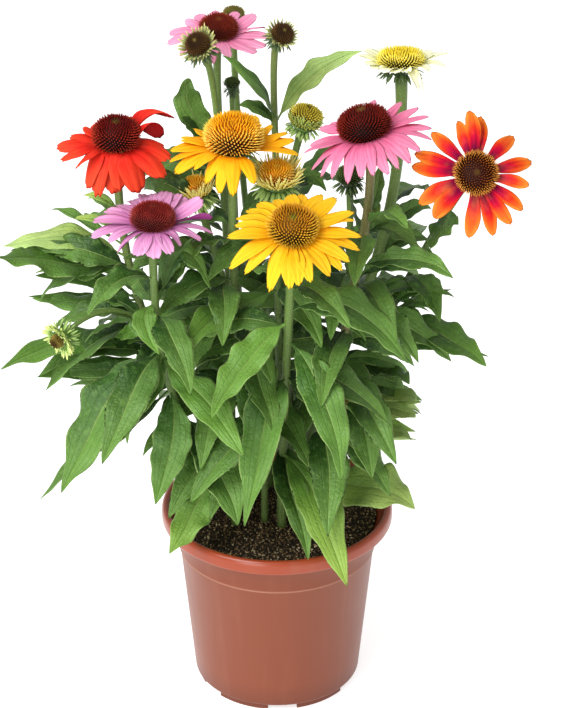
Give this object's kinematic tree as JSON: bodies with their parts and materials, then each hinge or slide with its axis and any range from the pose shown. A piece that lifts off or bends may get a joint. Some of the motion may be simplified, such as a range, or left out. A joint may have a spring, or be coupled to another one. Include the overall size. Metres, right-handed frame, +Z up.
{
  "type": "coneflower plant in a pot",
  "caption": "Compact flowering coneflower in a tapered nursery pot, with spiny-coned daisy heads in mixed colours above lance-shaped leaves.",
  "frame": {"origin": "under the middle of the pot, on the plane it stands on", "axes": "+Z up along the pot's axis, -Y towards the front, +X to the right as seen from the front"},
  "size_m": [0.411, 0.3475, 0.566],
  "materials": {
    "pot": "satin",
    "soil": "matte",
    "stems": "matte",
    "buds": "matte",
    "leaves": "satin",
    "petals_red": "satin",
    "petals_orange": "satin",
    "petals_pink": "satin",
    "petals_flame": "satin",
    "petals_lilac": "satin",
    "petals_yellow": "satin",
    "petals_rose": "satin",
    "petals_cream": "satin",
    "cone_dark": "satin",
    "cone_amber": "satin",
    "cone_olive": "satin",
    "cone_lime": "satin"
  },
  "bodies": {
    "root": {"pot": "pot", "soil": "soil", "stem_red": "stems", "rays_red": "petals_red", "cone_red": "cone_dark", "stem_orange": "stems", "rays_orange": "petals_orange", "cone_orange": "cone_amber", "stem_pink": "stems", "rays_pink": "petals_pink", "cone_pink": "cone_dark", "stem_flame": "stems", "rays_flame": "petals_flame", "cone_flame": "cone_olive", "stem_lilac": "stems", "rays_lilac": "petals_lilac", "cone_lilac": "cone_dark", "stem_yellow": "stems", "rays_yellow": "petals_yellow", "cone_yellow": "cone_olive", "stem_rose": "stems", "rays_rose": "petals_rose", "cone_rose": "cone_dark", "stem_cream": "stems", "rays_cream": "petals_cream", "cone_cream": "cone_lime", "bud_brown": "buds", "bud_tall": "buds", "bud_back": "buds", "bud_lime": "buds", "bud_amber": "buds", "bud_opening": "buds", "bud_nodding": "buds", "bud_shaded": "buds", "bud_small": "buds", "bud_inner": "buds", "leaf_01": "leaves", "leaf_02": "leaves", "leaf_03": "leaves", "leaf_04": "leaves", "leaf_05": "leaves", "leaf_06": "leaves", "leaf_07": "leaves", "leaf_08": "leaves", "leaf_09": "leaves", "leaf_10": "leaves", "leaf_11": "leaves", "leaf_12": "leaves", "leaf_13": "leaves", "leaf_14": "leaves", "leaf_15": "leaves", "leaf_16": "leaves", "leaf_17": "leaves", "leaf_18": "leaves", "leaf_19": "leaves", "leaf_20": "leaves", "leaf_21": "leaves", "leaf_22": "leaves", "leaf_23": "leaves", "leaf_24": "leaves"}
  },
  "joints": []
}
